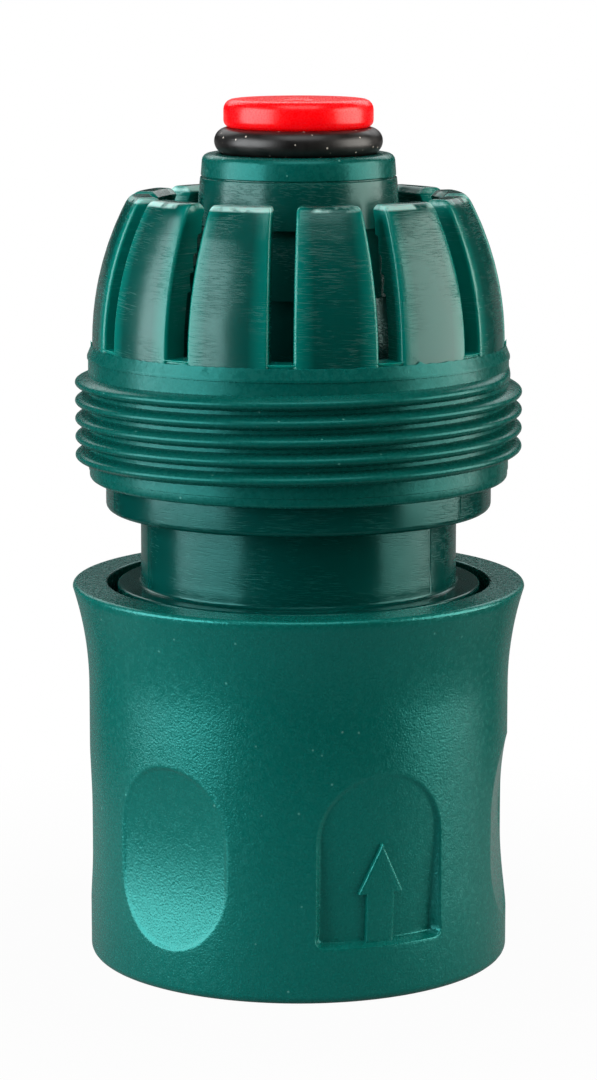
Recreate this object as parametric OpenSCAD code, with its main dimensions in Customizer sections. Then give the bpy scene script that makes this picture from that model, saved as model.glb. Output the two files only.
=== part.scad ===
// Garden hose quick connector with a water stop: a moulded body with a hose stem,
// slotted jaws and a nut thread at the top, and a spring sleeve with locking claws
// at the bottom, where a tap nipple plugs in.
// The origin is on the axis, at the face that the mouth of the socket stands on.

/* [Hose stem] */
// Largest radius of the stem, at the edges of its barbs; the other radii follow it
stem_r = 8.33; // [6.5:0.01:10.5]
// Wall of the stem at its barbs
stem_wall = 2.03; // [1.7:0.01:2.4]
// How far the stem is thinner behind a barb
barb_depth = 0.55; // [0.3:0.05:0.65]
// Distance from one barb to the next
barb_step = 5.6; // [4:0.1:7]
// Height of the stem above the jaws
stem_rise = 3.3; // [2:0.1:6]
// Thickness of the wall between the hose room and the valve chamber
bulkhead_t = 3; // [2:0.1:4]
// Depth of the hose room below the lower collar's underside
hose_sink = 1.63; // [0.5:0.01:2.5]

/* [Socket] */
// Room for the valve's spring between the water way and the chamber's wall
valve_spring_room = 1.7; // [1.5:0.05:2.2]
// Width of the shoulder that stops the nipple
shoulder_w = 0.6; // [0.3:0.05:1.5]
// Wall of the socket tube
socket_wall = 3.2; // [2.6:0.1:4]
// Depth of the socket from its mouth to that shoulder
socket_depth = 17.5; // [15:0.5:19]
// Lead-in chamfer at the socket's mouth
mouth_chamfer = 0.9; // [0.3:0.1:1.2]

/* [Neck and collars] */
// Width of the flange that the sleeve's spring rests on, past the socket tube
flange_w = 3.23; // [2.9:0.01:4]
// Thickness of that flange
flange_t = 1.5; // [1:0.1:2]
// How far the neck stands back from the flange
neck_step = 1.97; // [1.2:0.01:2.4]
// Wall of the neck round the hose room
neck_wall = 1.86; // [1.4:0.01:2.2]
// How far the lower collar stands out past the flange
lower_collar_out = 0.88; // [0.5:0.01:1.6]
// Height of the lower collar
lower_collar_h = 2.53; // [1.8:0.01:3.5]
// How far the upper collar stands back from the band above it
upper_collar_step = 0.14; // [0.14:0.02:0.6]
// Height of the upper collar
upper_collar_h = 0.84; // [0.8:0.02:2]
// Rounding of the collars' lower edges
collar_round = 0.55; // [0.2:0.05:0.7]

/* [Nut thread] */
// How far the band with the thread stands out past the flange
band_out = 2.35; // [2.2:0.01:3.5]
// Height of the thread's ridge
thread_depth = 1.15; // [0.6:0.01:1.25]
// Pitch of the thread
thread_pitch = 1.5; // [1.3:0.05:2]
// Turns of the thread, with its run-outs
thread_turns = 4.75; // [3.25:0.25:4.75]
// Direction in which the thread starts, from +X towards +Y
thread_start = 102; // [0:1:359]

/* [Jaws] */
// How many jaws close on the hose
jaw_count = 12; // [8:1:14]
// Direction of one slot between the jaws, from +X towards +Y
slot_at = -94.7; // [-180:0.1:180]
// Width of a slot
slot_w = 1.95; // [1.2:0.05:2.4]
// Height of the jaws above the band
jaw_h = 12.2; // [10:0.1:14]
// How far the jaws lean in from their foot to their top
jaw_lean = 2.92; // [2:0.02:3.4]
// Thickness of a jaw
jaw_t = 2.45; // [2:0.05:2.9]
// Depth of the gripping teeth inside the jaws
tooth_depth = 0.4; // [0.2:0.05:0.5]

/* [Grip sleeve] */
// Wall of the sleeve round its spring
sleeve_wall = 2.1; // [1.7:0.05:3]
// Height of the sleeve
sleeve_h = 31.5; // [26:0.5:38]
// How far the sleeve's rim flares out past the straight part
rim_flare = 1.3; // [0.5:0.1:2]
// Height of the flared stretch below the rim
flare_h = 8.4; // [5:0.1:10]
// Rounding of the sleeve's bottom edge
foot_round = 0.7; // [0.3:0.1:1]
// Rounding of the rim's outer edge
rim_round = 0.35; // [0.2:0.05:0.6]
// Way that the sleeve slides up to let the nipple go
sleeve_travel = 5; // [4:0.25:6]
// Space left between the raised rim and the lower collar
stop_gap = 1.13; // [0.5:0.01:2]
// Thickness of the inner ledge that the spring pushes on
ledge_t = 3; // [2:0.1:4]

/* [Finger dents] */
// How many places for the fingers stand round the sleeve
dent_count = 6; // [4:1:7]
// Direction of the dent with the arrow, from +X towards +Y
arrow_dent_at = -67.1; // [-180:0.1:180]
// Width of a dent
dent_w = 10.9; // [8:0.1:12]
// Height of the lower end of a dent
dent_z = 3.65; // [3:0.05:5]
// Height of a dent from end to end
dent_h = 15; // [12.5:0.1:16]
// Depth in the middle of a dent
dent_depth = 0.78; // [0.3:0.02:1]
// Height of the ledge under the arrow
arrow_ledge_z = 4.8; // [4:0.1:6]
// Depth of the arrow's field at that ledge
arrow_field_depth = 1.05; // [0.6:0.05:1.3]
// Height that the arrow stands out of its field
arrow_rise = 0.4; // [0.2:0.05:0.5]
// Width of the arrow's head
arrow_head_w = 4; // [3:0.1:6]
// Width of the arrow's shaft
arrow_shaft_w = 2.5; // [1.5:0.1:2.8]
// Length of the arrow's head
arrow_head_l = 4.05; // [3:0.05:5]
// Length of the arrow from the ledge to its tip
arrow_l = 8.1; // [6:0.1:9]

/* [Locking claws] */
// Width of a claw's shoe
claw_w = 9; // [8:0.1:9.5]
// Width of a claw's hook
hook_w = 7; // [6:0.1:7.5]
// Height of a claw's shoe
claw_h = 8.8; // [8:0.1:9]
// Height of a claw's lower end
claw_z = 3.1; // [2.5:0.1:3.5]
// How far a hook reaches into the socket
hook_reach = 1.15; // [0.8:0.05:1.4]
// Height of a hook
hook_h = 3.3; // [2.5:0.1:4]

/* [Water stop] */
// Play of the valve's head inside the water way's radius
head_play = 0.18; // [0.1:0.02:0.4]
// Thickness of the valve's head
head_t = 2.3; // [1.8:0.1:3]
// Rounding of the head's edges
head_round = 0.45; // [0.2:0.05:0.7]
// Thickness of the seal's ring
seal_t = 2.2; // [1.9:0.05:2.6]
// Depth of the seal's groove, from the water way's radius inwards
seal_groove = 1.62; // [1.4:0.02:1.8]
// Thickness of the valve's fins
fin_t = 1.4; // [1:0.1:2]
// Thickness of the push ring at the valve's foot
push_t = 1.5; // [1:0.1:2]
// Gap between the push ring and the chamber's wall
push_gap = 0.7; // [0.3:0.05:0.8]

/* [Springs] */
// Wire of the sleeve's spring
sleeve_wire = 1.1; // [0.8:0.05:1.3]
// Turns of the sleeve's spring
sleeve_coils = 5.5; // [4:0.5:6]
// Wire of the valve's spring
valve_wire = 0.7; // [0.5:0.05:0.8]
// Turns of the valve's spring
valve_coils = 6.5; // [5:0.5:7]

/* [Fits] */
// Radial play of the sleeve's ledge on the socket tube
ledge_gap = 0.3; // [0.2:0.05:0.4]
// How much wider the socket is below its sealing bore, where the claws stand
mouth_play = 0.25; // [0.2:0.05:0.4]
// Gap round a claw in its window
claw_gap = 0.15; // [0.1:0.05:0.25]
// Gap between the claws and the sleeve's cone
cone_gap = 0.1; // [0.05:0.05:0.2]
// Gap between the flange and the sleeve's rim
rim_gap = 0.85; // [0.5:0.05:1]
// Radial play of the valve's fins in the stem
fin_gap = 0.2; // [0.1:0.05:0.3]
// Gap between the seal and the edge that it closes on
seat_gap = 0.03; // [0.02:0.01:0.1]
// Gap between a spring's ends and their seats
spring_gap = 0.02; // [0.01:0.01:0.1]

/* [Hidden] */
$fn = 96;

green = [0.0, 0.42, 0.34];
dark_green = [0.0, 0.33, 0.27];
red = [0.9, 0.1, 0.1];
black = [0.06, 0.06, 0.06];
steel = [0.72, 0.73, 0.75];

claw_count = 4;

// Heights along the axis, from the mouth upwards
flange_top = sleeve_h - 0.1;
flange_z = flange_top - flange_t;
lower_collar_z = sleeve_h + sleeve_travel + stop_gap;
upper_collar_z = lower_collar_z + lower_collar_h;
thread_z = upper_collar_z + upper_collar_h;
ridge_half = 0.41 * thread_pitch;
thread_margin = ridge_half + 0.18;
thread_loops = ceil(thread_turns);
thread_h = thread_loops * thread_pitch + 2 * thread_margin;
band_z = thread_z + thread_h;
band_h = 1.2;
band_slope_h = 0.97;
jaw_z = band_z + band_h;
jaw_top = jaw_z + jaw_h;
slot_z = jaw_z + 0.16;
stem_top = jaw_top + stem_rise;
room_z = lower_collar_z - hose_sink;
chamber_top = room_z - bulkhead_t;

// Radii from the water way outwards
flow_r = stem_r - stem_wall;
chamber_r = flow_r + valve_spring_room;
socket_r = chamber_r + shoulder_w;
tube_r = socket_r + socket_wall;
flange_r = tube_r + flange_w;
neck_r = flange_r - neck_step;
hose_room_r = neck_r - neck_wall;
lower_collar_r = flange_r + lower_collar_out;
band_r = flange_r + band_out;
upper_collar_r = band_r - upper_collar_step;

// Socket tube, its claws and the cone that drives them
upper_tube_r = tube_r - 0.9;
recess_r = socket_r + socket_wall / 2;
claw_in_r = recess_r + 0.1;
claw_top = claw_z + claw_h;
ledge_r = tube_r + ledge_gap;
ledge_z = claw_top + 0.6;
ledge_top = ledge_z + ledge_t;
claw_stroke = hook_reach + 0.05;
cone_slope = claw_stroke / sleeve_travel;
hook_z = claw_z + 2.5;
hook_top = hook_z + hook_h;
seal_bore_z = hook_top + 0.4;
mouth_r = socket_r + mouth_play;
claw_turn = 360 / claw_count;
guide_r = tube_r + 0.8;
guide_w = 2.4;
catch_w = 6;
catch_h = 3.4;
notch_w = guide_w + 0.4;
notch_r = guide_r + ledge_gap;
notch_drop = (notch_r - ledge_r) / cone_slope + 0.5;

// Sleeve above the ledge
rim_in_r = flange_r + rim_gap;
spring_room_r = flange_r + 0.32;
sleeve_r = spring_room_r + sleeve_wall;
rim_r = sleeve_r + rim_flare;
spring_room_top = ledge_top + 6.5;
dent_run_out = 0.5;
cut_reach = 4;

// Thread, jaws and hose room
thread_root_r = band_r - 0.08;
jaw_out_r = band_r - 0.43;
jaw_arc_h = jaw_h - 0.5;
jaw_curve_r = (jaw_arc_h * jaw_arc_h + jaw_lean * jaw_lean) / (2 * jaw_lean);
wide_room_r = jaw_out_r - jaw_t;
wide_room_z = thread_z + 1.9;
core_r = band_r - 1.2;
stem_root_r = stem_r - barb_depth;
barb_lead = 5.73;
first_barb_z = stem_top - barb_lead;
barb_count = 4;
mouth_land_h = 1.85;
tooth_count = 4;
tooth_lead = 0.8;
tooth_step = 1.5;
tooth_rise = 1.1;

// Valve
seal_pipe_r = seal_t / 2;
seal_in_r = flow_r - seal_groove;
seal_major_r = seal_in_r + seal_pipe_r;
seal_z = stem_top + sqrt(pow(seal_pipe_r + seat_gap, 2) - pow(flow_r - seal_major_r, 2));
head_r = flow_r - head_play;
head_z = seal_z + seal_pipe_r;
head_top = head_z + head_t;
retainer_top = seal_z - seal_pipe_r;
retainer_t = 1.1;
retainer_r = flow_r - 0.55;
fin_r = flow_r - fin_gap;
push_r = chamber_r - push_gap;
push_z = socket_depth + 0.5;
push_top = push_z + push_t;
stem_core_r = 1.7;

// Arc of points round a centre
function arc(centre, r, from, to, steps) =
    [for (i = [0 : steps])
        let (a = from + (to - from) * i / steps)
        [centre[0] + r * cos(a), centre[1] + r * sin(a)]];

// Outside of the jaws: how far the surface has leaned in at a height above their foot
function jaw_in(h) = jaw_curve_r - sqrt(jaw_curve_r * jaw_curve_r - h * h);

// Cone inside the sleeve, wider towards the mouth
function cone_r(z) = ledge_r + (ledge_z - z) * cone_slope;

module turned(points) {
    rotate_extrude() polygon(points);
}

// Puts a shape that points along +X at every claw
module at_claws(offset_angle = 0) {
    for (i = [0 : claw_count - 1])
        rotate([0, 0, i * claw_turn + offset_angle]) children();
}

// A block that reaches out along +X, centred across it
module bar(from_r, to_r, width, z, height) {
    translate([from_r, -width / 2, z]) cube([to_r - from_r, width, height]);
}

// Wire coiled between two heights, with flat closed ends
module coil_spring(mean_r, wire, coils, bottom, top, sides, rings_a_turn) {
    rings = round(coils * rings_a_turn);
    flat = 0.75;
    rise = top - bottom - wire;
    closed = wire * flat * 1.05;
    function height_at(t) =
        t < flat ? closed * t / flat
        : t > coils - flat ? rise - closed * (coils - t) / flat
        : closed + (rise - 2 * closed) * (t - flat) / (coils - 2 * flat);
    points = [for (i = [0 : rings], j = [0 : sides - 1])
        let (t = i / rings_a_turn, a = 360 * t, b = 360 * (j + 0.5) / sides,
             r = mean_r + wire / 2 * cos(b),
             z = bottom + wire / 2 + height_at(min(t, coils)) + wire / 2 * sin(b))
        [r * cos(a), r * sin(a), z]];
    faces = concat(
        [[for (j = [0 : sides - 1]) j]],
        [[for (j = [sides - 1 : -1 : 0]) rings * sides + j]],
        [for (i = [0 : rings - 1], j = [0 : sides - 1], half = [0, 1])
            let (a = i * sides + j, b = i * sides + (j + 1) % sides)
            half == 0 ? [a, a + sides, b] : [b, a + sides, b + sides]]);
    polyhedron(points, faces);
}

// Ring with the helical thread on its outside. Each column of points runs up the
// ring at one angle and crosses the ridge once a turn; the ridge grows out of the
// root and sinks back into it at its two ends.
module thread_ring() {
    columns = 48;
    fade = 0.2;
    inner_r = core_r - 0.6;
    // Offsets across the ridge, in half widths, and their share of its height
    ridge = [[-1, 0], [-0.48, 0.84], [0, 1], [0.48, 0.84], [1, 0]];
    count = len(ridge);
    per_column = count * thread_loops + 2;
    function grown(t) = max(0, min(1, t / fade, (thread_turns - t) / fade));
    function column(i) =
        let (a = 360 * i / columns)
        concat(
            [[thread_root_r, 0]],
            [for (k = [0 : thread_loops - 1], p = ridge)
                let (t = i / columns + k)
                [thread_root_r + thread_depth * p[1] * grown(t),
                 thread_margin + thread_pitch * t + ridge_half * p[0]]],
            [[thread_root_r, thread_h]]);
    outer = [for (i = [0 : columns - 1], p = column(i))
        [p[0] * cos(360 * i / columns), p[0] * sin(360 * i / columns), p[1]]];
    inner = [for (i = [0 : columns - 1], z = [0, thread_h])
        [inner_r * cos(360 * i / columns), inner_r * sin(360 * i / columns), z]];
    first_inner = columns * per_column;
    last = columns - 1;
    function at(i, j) = i * per_column + j;
    function inside(i, j) = first_inner + (i % columns) * 2 + j;
    body_faces = [for (i = [0 : last - 1], j = [0 : per_column - 2], half = [0, 1])
        half == 0 ? [at(i, j), at(i, j + 1), at(i + 1, j)]
                  : [at(i + 1, j), at(i, j + 1), at(i + 1, j + 1)]];
    // Back at the first column the ridge has risen one pitch, so the strips move up
    seam_faces = [for (j = [1 : per_column - count - 3], half = [0, 1])
        half == 0 ? [at(last, j), at(last, j + 1), at(0, j + count)]
                  : [at(0, j + count), at(last, j + 1), at(0, j + count + 1)]];
    seam_bottom = concat(
        [[at(last, 0), at(last, 1), at(0, 0)]],
        [for (j = [0 : count]) [at(last, 1), at(0, j + 1), at(0, j)]]);
    seam_top = concat(
        [for (j = [per_column - count - 2 : per_column - 2])
            [at(0, per_column - 2), at(last, j), at(last, j + 1)]],
        [[at(0, per_column - 2), at(last, per_column - 1), at(0, per_column - 1)]]);
    ring_faces = [for (i = [0 : last])
        [at(i, 0), at((i + 1) % columns, 0), inside(i + 1, 0), inside(i, 0)]];
    top_faces = [for (i = [0 : last])
        [at(i, per_column - 1), inside(i, 1), inside(i + 1, 1), at((i + 1) % columns, per_column - 1)]];
    inner_faces = [for (i = [0 : last])
        [inside(i, 0), inside(i + 1, 0), inside(i + 1, 1), inside(i, 1)]];
    polyhedron(concat(outer, inner),
               concat(body_faces, seam_faces, seam_bottom, seam_top,
                      ring_faces, top_faces, inner_faces));
}

// Outline of the body from the mouth up its outside, over the jaws, down into the
// hose room, up the stem and down the water way
function body_outline() =
    let (
        outside = concat(
            [[mouth_r + mouth_chamfer, 0], [tube_r, 0], [tube_r, ledge_top + sleeve_travel + 0.6],
             [upper_tube_r, ledge_top + sleeve_travel + 1.5], [upper_tube_r, flange_z],
             [flange_r, flange_z], [flange_r, flange_top], [neck_r, flange_top],
             [neck_r, lower_collar_z]],
            arc([lower_collar_r - collar_round, lower_collar_z + collar_round],
                collar_round, -90, 0, 4),
            [[lower_collar_r, upper_collar_z]],
            arc([upper_collar_r - collar_round, upper_collar_z + collar_round],
                collar_round, -90, 0, 4),
            [[upper_collar_r, thread_z], [core_r, thread_z], [core_r, band_z],
             [band_r, band_z], [band_r, jaw_z - band_slope_h],
             [jaw_out_r + 0.06, jaw_z]]),
        jaw_outside = [for (i = [0 : 12])
            let (h = jaw_arc_h * i / 12)
            [jaw_out_r - jaw_in(h), jaw_z + h]],
        jaw_end = [[jaw_out_r - jaw_lean - 0.5, jaw_top],
                   [wide_room_r - jaw_lean + 0.6, jaw_top],
                   [wide_room_r - jaw_lean + 0.1, jaw_top - 0.5]],
        teeth = [for (k = [0 : tooth_count - 1], side = [0, 1, 2])
            let (h = jaw_arc_h - tooth_lead - tooth_step * k - (side == 0 ? 0 : tooth_rise))
            side == 0 ? [wide_room_r - jaw_in(h), jaw_z + h]
            : side == 1 ? [wide_room_r - jaw_in(h) - tooth_depth, jaw_z + h]
            : [wide_room_r - jaw_in(h - 0.1), jaw_z + h - 0.1]],
        jaw_inside = [for (i = [5 : -1 : 0])
            let (h = (jaw_arc_h - tooth_lead - tooth_count * tooth_step) * i / 6)
            [wide_room_r - jaw_in(h), jaw_z + h]],
        room = [[wide_room_r, wide_room_z], [hose_room_r, wide_room_z - 1.6], [hose_room_r, room_z],
                [stem_root_r, room_z]],
        barbs = [for (k = [barb_count - 1 : -1 : 1], side = [0, 1])
            [side == 0 ? stem_root_r : stem_r, first_barb_z - barb_step * k]],
        stem_end = concat(
            [[stem_root_r, first_barb_z], [stem_r, first_barb_z],
             [stem_r - 0.28, stem_top - mouth_land_h], [stem_r - 0.35, stem_top - mouth_land_h + 0.05]],
            arc([stem_r - 1.1, stem_top - 0.6], 0.6, 10, 90, 4)),
        way = [[flow_r, stem_top], [flow_r, chamber_top], [chamber_r, chamber_top],
               [chamber_r, socket_depth], [socket_r, socket_depth], [socket_r, seal_bore_z + 0.2],
               [mouth_r, seal_bore_z], [mouth_r, mouth_chamfer]])
    concat(outside, jaw_outside, jaw_end, teeth, jaw_inside, room, barbs, stem_end, way);

module claw_windows() {
    at_claws() {
        difference() {
            bar(recess_r / 2, tube_r + 1, claw_w + 2 * claw_gap, claw_z - claw_gap, claw_h + 2 * claw_gap);
            cylinder(h = claw_top + 2, r = recess_r);
        }
        bar(socket_r / 2, tube_r, hook_w + 2 * claw_gap, hook_z - claw_gap, hook_h + 2 * claw_gap);
    }
}

// Ribs that keep the sleeve from turning, and the catches under them that hold it
module sleeve_guides() {
    at_claws(claw_turn / 2) {
        bar(upper_tube_r - 0.5, guide_r, guide_w, claw_top, flange_z - claw_top);
        intersection() {
            turned([[upper_tube_r, claw_top - catch_h - 1],
                    [tube_r, claw_top - catch_h - 1],
                    [cone_r(claw_top - catch_h) - cone_gap, claw_top - catch_h],
                    [cone_r(claw_top) - cone_gap, claw_top],
                    [upper_tube_r, claw_top]]);
            bar(0, sleeve_r, catch_w, 0, claw_top);
        }
    }
}

module jaw_slots() {
    for (i = [0 : jaw_count - 1])
        rotate([0, 0, slot_at + i * 360 / jaw_count])
            bar((stem_r + wide_room_r - jaw_lean) / 2, band_r, slot_w, slot_z, jaw_h + 1);
}

module connector_body() {
    color(green) union() {
        difference() {
            turned(body_outline());
            claw_windows();
            jaw_slots();
        }
        sleeve_guides();
        translate([0, 0, thread_z]) rotate([0, 0, thread_start]) thread_ring();
    }
}

function sleeve_outline() = concat(
    [[cone_r(0), 0]],
    arc([sleeve_r - foot_round, foot_round], foot_round, -90, 0, 5),
    [for (i = [0 : 8])
        let (h = flare_h * i / 8,
             curve_r = (flare_h * flare_h + rim_flare * rim_flare) / (2 * rim_flare))
        [sleeve_r + curve_r - sqrt(curve_r * curve_r - h * h), sleeve_h - rim_round - flare_h + h]],
    arc([rim_r - rim_round, sleeve_h - rim_round], rim_round, 30, 90, 3),
    [[rim_in_r, sleeve_h], [spring_room_r, spring_room_top], [spring_room_r, ledge_top],
     [ledge_r, ledge_top], [ledge_r, ledge_z]]);

// Everything outside a curve that dips into the sleeve by dent_depth. It runs a
// little past the dent's ends, so that the outline stays crisp there too.
module dent_waist() {
    middle = dent_z + dent_h / 2;
    half = dent_h / 2 + dent_run_out;
    curve_r = (half * half + dent_depth * dent_depth) / (2 * dent_depth);
    turned(concat(
        [[sleeve_r + 2, middle + half]],
        [for (i = [0 : 12])
            let (h = half * (1 - i / 6))
            [sleeve_r + curve_r - dent_depth - sqrt(curve_r * curve_r - h * h), middle + h]],
        [[sleeve_r + 2, middle - half]]));
}

// Window with round ends that a dent shows through, pressed in along +X
module dent_window() {
    translate([sleeve_r - cut_reach, 0, dent_z + dent_h / 2]) rotate([90, 0, 90])
        linear_extrude(2 * cut_reach) {
            square([dent_w, dent_h - dent_w], center = true);
            for (side = [-1, 1])
                translate([0, side * (dent_h - dent_w) / 2]) circle(d = dent_w);
        }
}

// Field behind the arrow: next to no depth at its arched top, deepest at the ledge
module arrow_field(raised = 0) {
    field_top = dent_z + dent_h + dent_run_out;
    turned([[sleeve_r + 2, arrow_ledge_z], [sleeve_r - arrow_field_depth + raised, arrow_ledge_z],
            [sleeve_r + raised, field_top], [sleeve_r + 2, field_top]]);
}

module arrow_window() {
    arch_z = dent_z + dent_h - dent_w / 2;
    translate([sleeve_r - cut_reach, 0, 0]) rotate([90, 0, 90])
        linear_extrude(2 * cut_reach) {
            translate([-dent_w / 2, arrow_ledge_z]) square([dent_w, arch_z - arrow_ledge_z]);
            translate([0, arch_z]) circle(d = dent_w);
        }
}

module arrow_shape() {
    head_z = arrow_l - arrow_head_l;
    translate([sleeve_r - cut_reach, 0, arrow_ledge_z]) rotate([90, 0, 90])
        linear_extrude(2 * cut_reach)
            polygon([[-arrow_shaft_w / 2, -1], [arrow_shaft_w / 2, -1], [arrow_shaft_w / 2, head_z],
                     [arrow_head_w / 2, head_z], [0, arrow_l],
                     [-arrow_head_w / 2, head_z], [-arrow_shaft_w / 2, head_z]]);
}

module grip_sleeve() {
    color(green) difference() {
        turned(sleeve_outline());
        for (i = [1 : dent_count - 1])
            rotate([0, 0, arrow_dent_at + i * 360 / dent_count])
                intersection() {
                    dent_waist();
                    dent_window();
                }
        rotate([0, 0, arrow_dent_at])
            intersection() {
                arrow_window();
                difference() {
                    arrow_field();
                    difference() {
                        arrow_shape();
                        arrow_field(arrow_rise);
                    }
                }
            }
        at_claws(claw_turn / 2)
            bar(tube_r, notch_r, notch_w, ledge_z - notch_drop, notch_drop + ledge_t + 1);
    }
}

// One claw: a shoe with the cone's slope outside and a hook that points inwards.
// The hook's face is part of the socket's circle, so it clears the bore when it opens.
module locking_claw(number) {
    color(dark_green) rotate([0, 0, (number - 1) * claw_turn]) {
        intersection() {
            turned([[claw_in_r, claw_z], [cone_r(claw_z) - cone_gap, claw_z],
                    [cone_r(claw_top) - cone_gap, claw_top], [claw_in_r, claw_top]]);
            bar(0, sleeve_r, claw_w, 0, sleeve_h);
        }
        intersection() {
            translate([-hook_reach, 0, 0])
                turned([[claw_in_r + hook_reach + 0.35, hook_z], [socket_r + hook_reach, hook_z],
                        [socket_r, (hook_z + hook_top) / 2], [socket_r, hook_top],
                        [claw_in_r + hook_reach + 0.35, hook_top]]);
            bar(0, sleeve_r, hook_w, 0, sleeve_h);
        }
    }
}

module locking_claw_1() { locking_claw(1); }
module locking_claw_2() { locking_claw(2); }
module locking_claw_3() { locking_claw(3); }
module locking_claw_4() { locking_claw(4); }

module sleeve_spring() {
    color(steel)
        coil_spring((guide_r + spring_room_r) / 2 + 0.2, sleeve_wire, sleeve_coils,
                    ledge_top + spring_gap, flange_z - spring_gap, 8, 24);
}

// Red head, groove for the seal, four fins in the water way and the push ring
module valve_plunger() {
    color(red) union() {
        turned(concat(
            [[0, retainer_top - retainer_t], [retainer_r - 0.4, retainer_top - retainer_t],
             [retainer_r, retainer_top - retainer_t + 0.4], [retainer_r, retainer_top],
             [seal_in_r, retainer_top], [seal_in_r, head_z]],
            arc([head_r - head_round * 0.6, head_z + head_round * 0.6], head_round * 0.6, -90, 0, 3),
            arc([head_r - head_round, head_top - head_round], head_round, 0, 90, 4),
            [[0, head_top]]));
        translate([0, 0, push_z]) cylinder(h = retainer_top - 0.5 - push_z, r = stem_core_r);
        for (turn = [0, 90])
            rotate([0, 0, turn + 45])
                translate([-fin_r, -fin_t / 2, push_z])
                    cube([2 * fin_r, fin_t, retainer_top - 0.7 - push_z]);
        turned([[push_r - 1.7, push_z], [push_r - 0.3, push_z], [push_r, push_z + 0.3],
                [push_r, push_top], [push_r - 1.7, push_top]]);
    }
}

module valve_seal() {
    color(black)
        rotate_extrude() translate([seal_major_r, seal_z]) circle(r = seal_pipe_r, $fn = 48);
}

module valve_spring() {
    color(steel)
        coil_spring((fin_r + push_r) / 2 + 0.05, valve_wire, valve_coils,
                    push_top + spring_gap, chamber_top - spring_gap, 6, 20);
}

connector_body();
grip_sleeve();
sleeve_spring();
locking_claw_1();
locking_claw_2();
locking_claw_3();
locking_claw_4();
valve_plunger();
valve_seal();
valve_spring();
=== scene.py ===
# Garden hose quick connector with a water stop, standing on its socket end.
# Lengths here are millimetres; buildPiece turns them into metres.
import math
import random
import bmesh
import bpy
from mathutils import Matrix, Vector


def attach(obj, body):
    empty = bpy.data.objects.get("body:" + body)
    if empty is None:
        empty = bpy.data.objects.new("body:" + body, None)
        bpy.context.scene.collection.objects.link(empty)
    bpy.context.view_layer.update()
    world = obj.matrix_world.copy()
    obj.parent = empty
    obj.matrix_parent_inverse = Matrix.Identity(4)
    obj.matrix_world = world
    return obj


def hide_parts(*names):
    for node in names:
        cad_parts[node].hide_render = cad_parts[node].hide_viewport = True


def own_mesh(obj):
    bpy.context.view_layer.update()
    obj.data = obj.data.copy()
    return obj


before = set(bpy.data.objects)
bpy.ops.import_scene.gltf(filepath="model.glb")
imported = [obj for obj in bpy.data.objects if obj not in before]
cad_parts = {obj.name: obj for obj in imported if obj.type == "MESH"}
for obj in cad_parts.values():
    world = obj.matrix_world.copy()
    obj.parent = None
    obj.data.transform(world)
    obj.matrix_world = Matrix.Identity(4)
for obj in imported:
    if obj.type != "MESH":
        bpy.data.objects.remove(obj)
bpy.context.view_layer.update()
scene = bpy.context.scene
mm = 0.001


# Tools for meshes

def roundCorners(corners, steps=4):
    # A corner is (across, up) or (across, up, radius); each radius becomes an arc
    outline = []
    count = len(corners)
    for i, corner in enumerate(corners):
        here = Vector(corner[:2])
        before = Vector(corners[i - 1][:2]) - here
        after = Vector(corners[(i + 1) % count][:2]) - here
        radius = corner[2] if len(corner) > 2 else 0
        if radius == 0:
            outline.append(tuple(here))
            continue
        half = before.angle(after) / 2
        reach = min(radius / math.tan(half), 0.48 * before.length, 0.48 * after.length)
        radius = reach * math.tan(half)
        bisector = (before.normalized() + after.normalized()).normalized()
        centre = here + bisector * radius / math.sin(half)
        first = here + before.normalized() * reach - centre
        last = here + after.normalized() * reach - centre
        start = math.atan2(first.y, first.x)
        sweep = (math.atan2(last.y, last.x) - start + math.pi) % (2 * math.pi) - math.pi
        for step in range(steps + 1):
            angle = start + sweep * step / steps
            outline.append((centre.x + radius * math.cos(angle), centre.y + radius * math.sin(angle)))
    return outline


def arc(centre, radius, first, last, steps):
    turns = [math.radians(first + (last - first) * i / steps) for i in range(steps + 1)]
    return [(centre[0] + radius * math.cos(a), centre[1] + radius * math.sin(a)) for a in turns]


def lathe(outline, columns=192, start=0.0):
    # Closed outline of (radius, height) turned round the axis
    count = len(outline)
    points = []
    faces = []
    for i in range(columns):
        angle = math.radians(start) + 2 * math.pi * i / columns
        points += [(r * math.cos(angle), r * math.sin(angle), z) for r, z in outline]
        following = (i + 1) % columns
        for j in range(count):
            k = (j + 1) % count
            faces.append((i * count + j, following * count + j, following * count + k, i * count + k))
    return points, faces


def loft(sections, closed=False):
    # Skin over closed sections that all have the same number of points
    count = len(sections[0])
    points = [point for section in sections for point in section]
    spans = len(sections) if closed else len(sections) - 1
    faces = []
    for i in range(spans):
        following = (i + 1) % len(sections)
        for j in range(count):
            k = (j + 1) % count
            faces.append((i * count + j, i * count + k, following * count + k, following * count + j))
    if not closed:
        last = (len(sections) - 1) * count
        faces.append(tuple(range(count)))
        faces.append(tuple(range(last, last + count)))
    return points, faces


def turned(points, degrees):
    c = math.cos(math.radians(degrees))
    s = math.sin(math.radians(degrees))
    return [(c * x - s * y, s * x + c * y, z) for x, y, z in points]


def curvedBar(levels, width, degrees, columns=6):
    # Block across the direction given, with round inner and outer faces.
    # A level is (height, inner radius, outer radius).
    offsets = [width * (i / columns - 0.5) for i in range(columns + 1)]
    sections = []
    for z, inner, outer in levels:
        section = [(math.sqrt(outer * outer - y * y), y, z) for y in offsets]
        section += [(math.sqrt(inner * inner - y * y), y, z) for y in reversed(offsets)]
        sections.append(turned(section, degrees))
    return loft(sections)


def gather(shapes):
    points = []
    faces = []
    for shapePoints, shapeFaces in shapes:
        shift = len(points)
        points += shapePoints
        faces += [tuple(index + shift for index in face) for face in shapeFaces]
    return points, faces


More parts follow.
